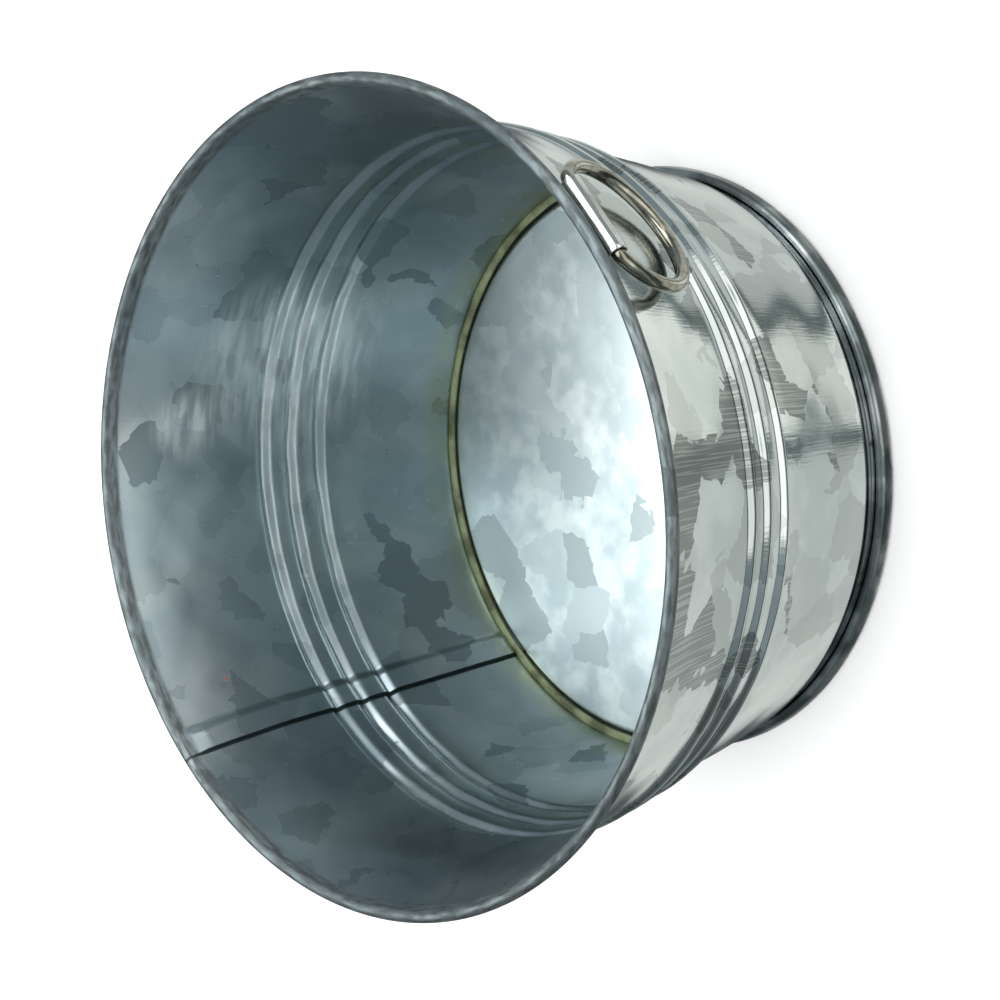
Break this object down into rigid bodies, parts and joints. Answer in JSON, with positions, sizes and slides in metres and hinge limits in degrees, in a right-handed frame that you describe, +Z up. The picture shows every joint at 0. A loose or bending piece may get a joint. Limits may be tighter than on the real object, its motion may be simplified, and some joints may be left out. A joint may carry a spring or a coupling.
{
  "type": "florist bucket",
  "caption": "Low round flared bucket in galvanised sheet with rolled beads, a curled rim, a seamed foot and a swinging ring handle on each side.",
  "frame": {"origin": "centre of the plane that the foot rests on", "axes": "+Z up along the bucket's axis; +X towards the front ring, opposite the side seam; +Y completes a right-handed frame"},
  "size_m": [0.1418, 0.14, 0.0722],
  "materials": {
    "zinc_wall": "hot-dip galvanised sheet, spangled",
    "zinc_pan": "hot-dip galvanised sheet, spangled",
    "rim_wire": "drawn steel wire",
    "seal": "matte sealing compound",
    "sleeve": "bright plated strip",
    "ring_wire": "bright drawn steel wire"
  },
  "bodies": {
    "bucket": {"body_wall": "zinc_wall", "rim_wire": "rim_wire", "bottom_pan": "zinc_pan", "bottom_seal": "seal", "front_sleeve": "sleeve", "seam_side_sleeve": "sleeve"},
    "front_handle": {"front_ring": "ring_wire"},
    "seam_side_handle": {"seam_side_ring": "ring_wire"}
  },
  "joints": [
    {"name": "front_ring_swing", "type": "hinge", "parent": "bucket", "child": "front_handle", "pos_m": [0.06914, 0, 0.06792], "axis": [0, -1, 0], "range_deg": [-1, 168]},
    {"name": "seam_side_ring_swing", "type": "hinge", "parent": "bucket", "child": "seam_side_handle", "pos_m": [-0.06914, 0, 0.06792], "axis": [0, 1, 0], "range_deg": [-1, 168]}
  ]
}
